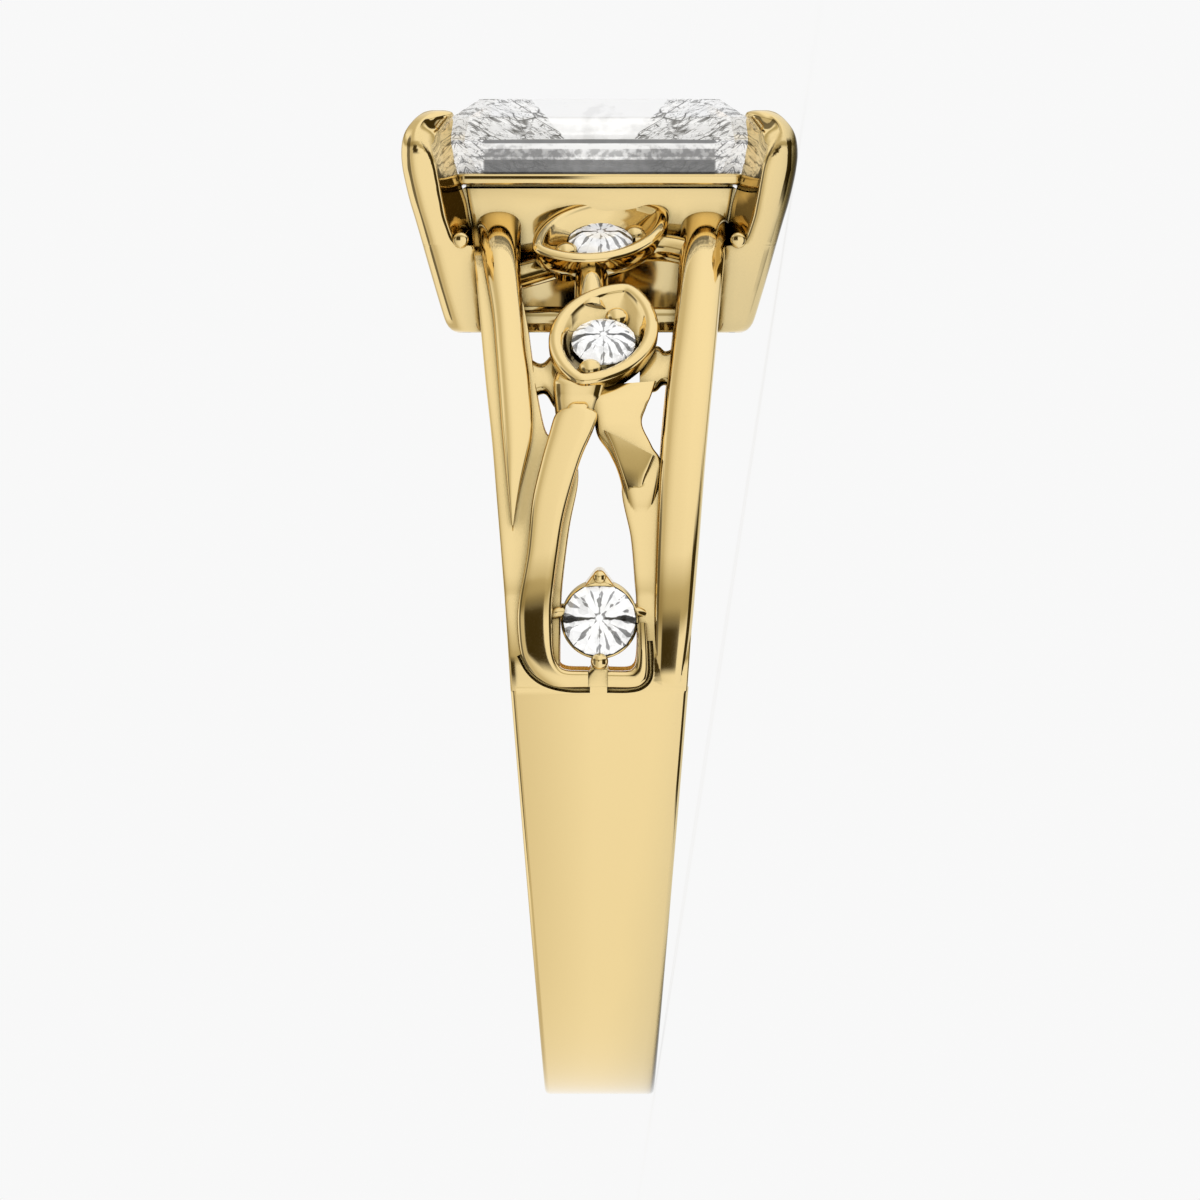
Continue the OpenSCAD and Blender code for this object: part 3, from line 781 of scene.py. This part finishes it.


# Gold: how far round a point a hollow and a fine crevice are looked for, in metres, and the tones of the
# painted shade in them
HOLLOW_M = 0.0025
CREVICE_M = 0.0004
SHADED_HOLLOW_GOLD = (0.69, 0.56, 0.30, 1)
OPEN_GOLD = (0.93, 0.72, 0.35, 1)
CREVICE_SHADE_TONES = [(0.24, (0.05, 0.04, 0.01)), (0.5, (0.38, 0.35, 0.24)), (0.78, (1.0, 1.0, 1.0))]
GLOSS_MARKS_SCALE = 900.0
GLOSS_RANGE = (0.045, 0.10)

# Cut stones: tones of the painted reflections, the light thrown back, how clear they are and how bright their
# painted glow is
STONE_REFLECTION_TONES = [(0.0, 0.012), (0.5, 0.22), (0.8, 0.75), (1.0, 1.0)]
STONE_GLOW = 0.22
STONE_ROUGHNESS = 0.02
STONE_IOR = 2.0
STONE_CLEAR_SHARE = 0.35

# Square stone: painted reflections, a tone by height from the lowest step (0) to the table (1). The
# painted sparkle of a corner begins beyond a line that slopes outwards with height, and nowhere on
# the middle of the steps.
STEP_REFLECTION_TONES = [(0.0, 0.13), (0.16, 0.18), (0.17, 0.55), (0.20, 0.62), (0.21, 0.48), (0.31, 0.54),
              (0.32, 0.88), (0.385, 0.9), (0.395, 0.34), (0.44, 0.34), (0.45, 1.0), (1.0, 1.0)]
SPARKLE_SLOPE = 0.85
SPARKLE_FROM = 0.84
STEP_SPARKLE_FROM = 2.9

# Places of sockets on a colour mix node
MIX_A, MIX_B, MIX_RESULT = 6, 7, 2


def wired(tree, kind, *values, **settings):
    """New node with its settings, whose inputs are set to values or linked to other outputs."""
    made = tree.nodes.new(kind)
    for key, value in settings.items():
        setattr(made, key, value)
    for socket, value in zip(made.inputs, values):
        if isinstance(value, bpy.types.NodeSocket):
            tree.links.new(value, socket)
        elif value is not None:
            socket.default_value = value
    return made.outputs[0]


def sums(tree, operation, *values):
    """Result of a Math node on numbers or other outputs."""
    return wired(tree, "ShaderNodeMath", *values, operation=operation)


def spread(tree, value, low, high, to_low=0.0, to_high=1.0):
    """Value mapped from low..high to to_low..to_high and held at the ends."""
    return wired(tree, "ShaderNodeMapRange", value, low, high, to_low, to_high)


def mixed(tree, factor, a, b):
    """Number a where the factor is 0, b where it is 1."""
    return wired(tree, "ShaderNodeMix", factor, None, a, b)


def blended(tree, factor, a, b, kind="MIX"):
    """Colour a where the factor is 0, b (or a times b, for the kind MULTIPLY) where it is 1."""
    made = tree.nodes.new("ShaderNodeMix")
    made.data_type = "RGBA"
    made.blend_type = kind
    for value, socket in ((factor, made.inputs["Factor"]), (a, made.inputs[MIX_A]), (b, made.inputs[MIX_B])):
        if isinstance(value, bpy.types.NodeSocket):
            tree.links.new(value, socket)
        else:
            socket.default_value = value
    return made.outputs[MIX_RESULT]


def ramp(tree, value, stops, sharp=False):
    """Colour at a value between 0 and 1. A stop is its place and a grey level or a colour."""
    made = tree.nodes.new("ShaderNodeValToRGB")
    tree.links.new(value, made.inputs["Fac"])
    made.color_ramp.interpolation = "CONSTANT" if sharp else "LINEAR"
    elements = made.color_ramp.elements
    elements.remove(elements[0])
    for k, (at, level) in enumerate(stops):
        stop = elements[0] if k == 0 else elements.new(at)
        stop.position = at
        stop.color = (*level, 1) if isinstance(level, tuple) else (level, level, level, 1)
    return made.outputs["Color"]


def apart(tree, vector):
    """The three numbers of a vector."""
    made = tree.nodes.new("ShaderNodeSeparateXYZ")
    tree.links.new(vector, made.inputs[0])
    return made.outputs[0], made.outputs[1], made.outputs[2]


def new_material(name):
    """New material, its node tree and its shader."""
    material = bpy.data.materials.new(name)
    material.use_nodes = True
    return material, material.node_tree, material.node_tree.nodes["Principled BSDF"]


def openness(tree, distance):
    """Share of the surroundings within a distance that a point has free, from 0 to 1."""
    made = tree.nodes.new("ShaderNodeAmbientOcclusion")
    made.samples = 4
    made.inputs["Distance"].default_value = distance
    return made.outputs["AO"]


def gold():
    """Polished yellow gold with painted shade: olive in hollows and near black in fine crevices, where
    ambient occlusion darkens its colour; faint marks in its gloss.
    """
    material, tree, shader = new_material("polished gold")
    shader.inputs["Metallic"].default_value = 1.0
    # Painted shade: the colour turns olive where a hollow closes round a point, and near black in fine
    # crevices
    free = spread(tree, openness(tree, HOLLOW_M), 0.25, 0.7)
    body = blended(tree, free, SHADED_HOLLOW_GOLD, OPEN_GOLD)
    crevice = ramp(tree, openness(tree, CREVICE_M), CREVICE_SHADE_TONES)
    tree.links.new(blended(tree, 1.0, body, crevice, "MULTIPLY"), shader.inputs["Base Color"])
    where = tree.nodes.new("ShaderNodeTexCoord").outputs["Object"]
    marks = wired(tree, "ShaderNodeTexNoise", where, None, GLOSS_MARKS_SCALE, 3.0)
    tree.links.new(spread(tree, marks, 0.0, 1.0, *GLOSS_RANGE), shader.inputs["Roughness"])
    return material


def cut_stone_material(name, painted_reflections_of):
    """Colourless cut stone: part clear, part painted reflections of white light, darker where the given
    pattern says, with a painted glow.
    """
    material, tree, shader = new_material(name)
    cut = tree.nodes.new("ShaderNodeAttribute")
    cut.attribute_name = "cut"
    facet_glint = tree.nodes.new("ShaderNodeAttribute")
    facet_glint.attribute_name = "facet_glint"
    tone = sums(tree, "MULTIPLY", painted_reflections_of(tree, cut.outputs["Vector"]), facet_glint.outputs["Fac"])
    colour = ramp(tree, tone, STONE_REFLECTION_TONES)
    tree.links.new(colour, shader.inputs["Base Color"])
    # Painted glow: the stone gives off its painted reflection tones as light
    tree.links.new(colour, shader.inputs["Emission Color"])
    shader.inputs["Emission Strength"].default_value = STONE_GLOW
    shader.inputs["Roughness"].default_value = STONE_ROUGHNESS
    shader.inputs["IOR"].default_value = STONE_IOR
    shader.inputs["Transmission Weight"].default_value = STONE_CLEAR_SHARE
    return material


def brilliant_painted_reflections(tree, cut):
    """Painted reflections of a round brilliant: eight thin arms from the middle, where the sine of four times
    the angle is small.

    The two level arms, where the sine of the angle is small, are broader and black, the others
    grey. Sixteen grey wedges, from the sine of eight times the angle, widen towards the rim."""
    x, y, _ = apart(tree, cut)
    radius = sums(tree, "SQRT", sums(tree, "ADD", sums(tree, "MULTIPLY", x, x), sums(tree, "MULTIPLY", y, y)))
    angle = sums(tree, "ARCTAN2", y, x)
    level = sums(tree, "ABSOLUTE", sums(tree, "SINE", angle))
    arm = sums(tree, "ABSOLUTE", sums(tree, "SINE", sums(tree, "MULTIPLY", angle, 4.0)))
    arm = sums(tree, "SUBTRACT", arm, spread(tree, level, 0.1, 0.2, 0.28, 0.0))
    wobble = wired(tree, "ShaderNodeTexNoise", cut, None, 3.2, 3.0)
    width = spread(tree, wobble, 0.44, 0.68, -0.03, 0.26)
    away = sums(tree, "SUBTRACT", sums(tree, "MULTIPLY", arm, radius), width)
    arms = sums(tree, "MAXIMUM", spread(tree, away, -0.02, 0.05), spread(tree, level, 0.1, 0.35, 0.0, 0.5))
    hub = spread(tree, radius, 0.08, 0.16, 1.0, 0.0)
    wedge = sums(tree, "ABSOLUTE", sums(tree, "SINE", sums(tree, "MULTIPLY_ADD", angle, 8.0, 0.7)))
    drift = wired(tree, "ShaderNodeTexNoise", cut, None, 2.3, 1.0)
    reach = sums(tree, "MULTIPLY", spread(tree, drift, 0.45, 0.62, 0.0, 0.9), spread(tree, radius, 0.3, 1.0))
    wedges = spread(tree, sums(tree, "SUBTRACT", wedge, reach), -0.1, 0.06, 0.5, 1.0)
    flats = sums(tree, "MULTIPLY", painted_sparkle_flats(tree, cut, 4.0, 0.04), wedges)
    return sums(tree, "MULTIPLY", sums(tree, "MAXIMUM", arms, hub), flats)


def painted_sparkle_flats(tree, where, scale, dark_share):
    """Painted sparkle of many small flats: most white, some grey and dark_share of them darker."""
    cells = tree.nodes.new("ShaderNodeTexVoronoi")
    cells.inputs["Scale"].default_value = scale
    tree.links.new(where, cells.inputs["Vector"])
    pick = apart(tree, cells.outputs["Color"])[0]
    return ramp(tree, pick, [
        (0.0, 0.6), (dark_share, 0.84), (2 * dark_share, 0.93), (4 * dark_share, 1.0)], sharp=True)


def painted_reflection_lines(tree, where, scale, width, fade):
    """Painted reflections as fine dark lines between flats, which come and go with a slow noise."""
    edge = wired(tree, "ShaderNodeTexVoronoi", where, None, scale, feature="DISTANCE_TO_EDGE")
    line = spread(tree, edge, 0.0, width, 1.0, 0.0)
    shown = spread(tree, wired(tree, "ShaderNodeTexNoise", where, None, fade, 2.0), 0.42, 0.6, 0.0, 0.8)
    return sums(tree, "SUBTRACT", 1.0, sums(tree, "MULTIPLY", line, shown))


def square_painted_reflections(tree, cut):
    """Painted reflections: white crown, dark girdle line and grey steps below it, under a slow painted
    mottle and fine painted stripes.

    Beyond a line near each corner the tone is painted sparkle of many small flats with dark lines
    between them, drawn out along the stone's slope."""
    x, y, z = apart(tree, cut)
    wide, deep = sums(tree, "ABSOLUTE", x), sums(tree, "ABSOLUTE", y)
    along, far = sums(tree, "MINIMUM", wide, deep), sums(tree, "MAXIMUM", wide, deep)
    painted_mottle = spread(tree, wired(tree, "ShaderNodeTexNoise", cut, None, 1.6, 4.0), 0.35, 0.65, 0.92, 1.2)
    steps = ramp(tree, spread(tree, z, STEP_LOW_Z, TABLE_Z), STEP_REFLECTION_TONES)
    slope = sums(tree, "MULTIPLY_ADD", z, SPARKLE_SLOPE, SPARKLE_FROM - SPARKLE_SLOPE * GIRDLE_TOP_Z)
    below = spread(tree, z, GIRDLE_TOP_Z, GIRDLE_TOP_Z + 0.04, STEP_SPARKLE_FROM, 0.0)
    beyond = sums(tree, "SUBTRACT", along, sums(tree, "MAXIMUM", slope, below))
    across = sums(tree, "MULTIPLY", sums(tree, "MULTIPLY_ADD", along, -SHARD_SLOPE, z), SHARD_STRETCH[0])
    run = sums(tree, "MULTIPLY", sums(tree, "MULTIPLY_ADD", z, SHARD_SLOPE, along), SHARD_STRETCH[1])
    shards = wired(tree, "ShaderNodeCombineXYZ", across, run, sums(tree, "MULTIPLY", far, SHARD_STRETCH[2]))
    lines = sums(tree, "MULTIPLY", painted_reflection_lines(tree, shards, 1.1, 0.05, 1.0), painted_reflection_lines(tree, shards, 3.0, 0.09, 2.0))
    lines = sums(tree, "MULTIPLY", lines, painted_reflection_lines(tree, shards, 6.0, 0.05, 4.0))
    sparkle = sums(tree, "MULTIPLY", painted_sparkle_flats(tree, shards, 4.0, 0.05), lines)
    painted_stripes = spread(tree, wired(tree, "ShaderNodeTexNoise", cut, None, 6.0, 6.0), 0.42, 0.6, 0.85, 1.25)
    painted_stripes = sums(tree, "MULTIPLY", painted_stripes, spread(tree, along, 0.5, 1.2, 1.45, 1.0))
    painted_mottle = mixed(tree, spread(tree, z, GIRDLE_LOW_Z - 0.1, GIRDLE_LOW_Z), painted_stripes, painted_mottle)
    return mixed(tree, spread(tree, beyond, -0.03, 0.03), sums(tree, "MULTIPLY", steps, painted_mottle), sparkle)


# Camera and surroundings
VIEW_DISTANCE = 1.2
VIEW_UP_DEG = 0.25
FRAME_MM = 30.0
AIM_Y = -7.0
LENS_MM = 200


def add_camera():
    """Long lens in front of the shoulder, rolled so that the head is up in the picture.

    Returns the picture's up and right directions."""
    data = bpy.data.cameras.new("camera")
    camera = in_scene("camera", data)
    x, z = seen_at([(PHOTO_MID_PX, PHOTO_MID_PX)])[0]
    aim = laid_down(np.array([[x, AIM_Y, z]]))[0]
    up = laid_down(np.array([[0, 0, 1.0]]))[0] - laid_down(np.array([[0, 0, 0.0]]))[0]
    up /= np.linalg.norm(up)
    front = np.array([0, -1.0, 0])
    look = math.radians(VIEW_UP_DEG)
    back = front * math.cos(look) + up * math.sin(look)
    top = up * math.cos(look) - front * math.sin(look)
    side = np.cross(top, back)
    place = aim + back * VIEW_DISTANCE
    matrix = np.eye(4)
    matrix[:3, 0], matrix[:3, 1], matrix[:3, 2], matrix[:3, 3] = side, top, back, place
    camera.matrix_world = Matrix(matrix.tolist())
    data.lens = LENS_MM
    data.sensor_width = LENS_MM * FRAME_MM / 1000 / VIEW_DISTANCE
    data.sensor_fit = "HORIZONTAL"
    data.clip_start = 0.01
    bpy.context.scene.camera = camera
    return up, side


UP_AXIS, RIGHT_AXIS = add_camera()
AHEAD_AXIS = (0.0, -1.0, 0.0)

# World: brightness of the light tent by direction
TENT_WHITE = 0.94
TENT_WARM = (0.64, 0.6, 0.5, 1.0)
TENT_DARK = (0.045, 0.033, 0.01, 1.0)
TENT_GLOW = [(0.0, 0.93), (0.58, 0.96), (0.62, (0.45, 0.41, 0.29)), (0.67, (0.55, 0.51, 0.39)),
             (0.73, 0.94), (1.0, 1.0)]
TENT_FLECKS = [(0, 0.02), (0.12, 0.4), (0.2, 0.95), (0.7, 1.25)]
FLECKS_SCALE = 5.0

# Shares along the picture's right and up between which each block of the tent fades in, then out
STRIP_RIGHT = (-0.32, -0.24, -0.03, -0.01)
STRIP_UP = (-0.03, 0.03, 0.2, 0.28)
CARD_RIGHT = (0.42, 0.47, 0.93, 0.96)
CARD_UP = (-0.62, -0.5, 0.4, 0.55)
WARM_RIGHT = (-0.8, -0.6, -0.38, -0.02)
LEFT_CARD_RIGHT = (-0.97, -0.94, -0.7, -0.62)
LEFT_CARD_ENDS_UP = (0.5, 0.65)
LEFT_CARD_DEPTH = 0.85
DARK_BEGINS_AHEAD = (0.1, 0.15)


def share_along(tree, direction, axis):
    """How far a direction points along an axis, from -1 to 1."""
    made = tree.nodes.new("ShaderNodeVectorMath")
    made.operation = "DOT_PRODUCT"
    tree.links.new(direction, made.inputs[0])
    made.inputs[1].default_value = tuple(axis)
    return made.outputs["Value"]


def within(tree, value, limits):
    """1 inside a range and 0 outside it, with a fade at each end. Limits are the ends of both fades."""
    return sums(tree, "MULTIPLY", spread(tree, value, *limits[:2]),
                spread(tree, value, *limits[2:], 1.0, 0.0))


def add_tent():
    """White light tent. Polished metal also mirrors a warm grey band above the middle, a warm left
    side, a low dark strip ahead and a dark card at each side, and stones catch dark flecks. A
    direction's shares along the axes pick the tone."""
    world = bpy.data.worlds.new("light tent")
    world.use_nodes = True
    bpy.context.scene.world = world
    tree = world.node_tree
    tree.nodes.clear()
    tent = tree.nodes.new("ShaderNodeBackground")
    out = tree.nodes.new("ShaderNodeOutputWorld")
    tree.links.new(tent.outputs[0], out.inputs["Surface"])
    seen = tree.nodes.new("ShaderNodeLightPath")
    where = tree.nodes.new("ShaderNodeTexCoord").outputs["Generated"]
    up, right, ahead = [share_along(tree, where, axis) for axis in (UP_AXIS, RIGHT_AXIS, AHEAD_AXIS)]
    glow = ramp(tree, spread(tree, up, -1.0, 1.0), TENT_GLOW)
    glow = blended(tree, within(tree, right, WARM_RIGHT), glow, TENT_WARM, "MULTIPLY")
    strip = sums(tree, "MULTIPLY", within(tree, up, STRIP_UP), within(tree, right, STRIP_RIGHT))
    card = sums(tree, "MULTIPLY", within(tree, right, CARD_RIGHT), within(tree, up, CARD_UP))
    left_card = sums(tree, "MULTIPLY", within(tree, right, LEFT_CARD_RIGHT),
                     spread(tree, up, *LEFT_CARD_ENDS_UP, LEFT_CARD_DEPTH, 0.0))
    dark = sums(tree, "MAXIMUM", strip, sums(tree, "MAXIMUM", card, left_card))
    dark = sums(tree, "MULTIPLY", dark, spread(tree, ahead, *DARK_BEGINS_AHEAD))
    metal = blended(tree, dark, glow, TENT_DARK)
    flecks = tree.nodes.new("ShaderNodeTexVoronoi")
    flecks.inputs["Scale"].default_value = FLECKS_SCALE
    tree.links.new(where, flecks.inputs["Vector"])
    stones = ramp(tree, flecks.outputs["Color"], TENT_FLECKS, sharp=True)
    glossy = blended(tree, seen.outputs["Is Glossy Ray"], (TENT_WHITE, TENT_WHITE, TENT_WHITE, 1.0), metal)
    tree.links.new(blended(tree, seen.outputs["Is Transmission Ray"], glossy, stones), tent.inputs["Color"])


add_tent()


# Floor: half its width in metres, the share of light that it throws back, and its own glow
FLOOR_HALF = 4.0
FLOOR_BASE = 0.12
FLOOR_GLOW = 0.8275
FLOOR_ROUGHNESS = 0.8


def add_floor():
    """Plain pale floor under the ring, which mostly glows, so that shadows on it stay faint.

    Polished metal mirrors the tent through it."""
    mesh = bpy.data.meshes.new("floor")
    corners = [(-FLOOR_HALF, -FLOOR_HALF, 0), (FLOOR_HALF, -FLOOR_HALF, 0), (FLOOR_HALF, FLOOR_HALF, 0),
               (-FLOOR_HALF, FLOOR_HALF, 0)]
    mesh.from_pydata(corners, [], [(0, 1, 2, 3)])
    floor = in_scene("floor", mesh)
    floor.visible_glossy = False
    material, _, shader = new_material("pale floor")
    shader.inputs["Base Color"].default_value = (FLOOR_BASE, FLOOR_BASE, FLOOR_BASE, 1)
    shader.inputs["Roughness"].default_value = FLOOR_ROUGHNESS
    shader.inputs["Specular IOR Level"].default_value = 0.0
    shader.inputs["Emission Color"].default_value = (1, 1, 1, 1)
    shader.inputs["Emission Strength"].default_value = FLOOR_GLOW
    floor.data.materials.append(material)


add_floor()
GOLD = gold()
SQUARE_CUT = cut_stone_material("square cut stone", square_painted_reflections)
ROUND_CUT = cut_stone_material("round cut stone", brilliant_painted_reflections)


def place(piece, node, slot, material):
    """Gives a finished piece its material, its body and the node it stands for. The record slot is not used.
    """
    piece.data.materials.clear()
    piece.data.materials.append(material)
    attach(piece, "root")
    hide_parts(node)


place(ring_mount(), "mount", "gold", GOLD)
place(centre_stone(), "centre_stone", "clear_stone", SQUARE_CUT)
for side_name, back in (("front", False), ("back", True)):
    for leaf, seat in LEAF_SEATS.items():
        stone = round_stone(f"{side_name}_{leaf}_stone", seat, LEAF_STONE_D / 2, LEAF_STONE_SINK, back)
        place(stone, f"{side_name}_{leaf}_leaf_stone", "clear_stone", ROUND_CUT)
    stone = round_stone(f"{side_name}_split_stone", SHOULDER_SEAT, SHOULDER_STONE_D / 2, 0.0, back)
    place(stone, f"{side_name}_shoulder_stone", "clear_stone", ROUND_CUT)

bpy.context.scene.view_settings.view_transform = "Standard"
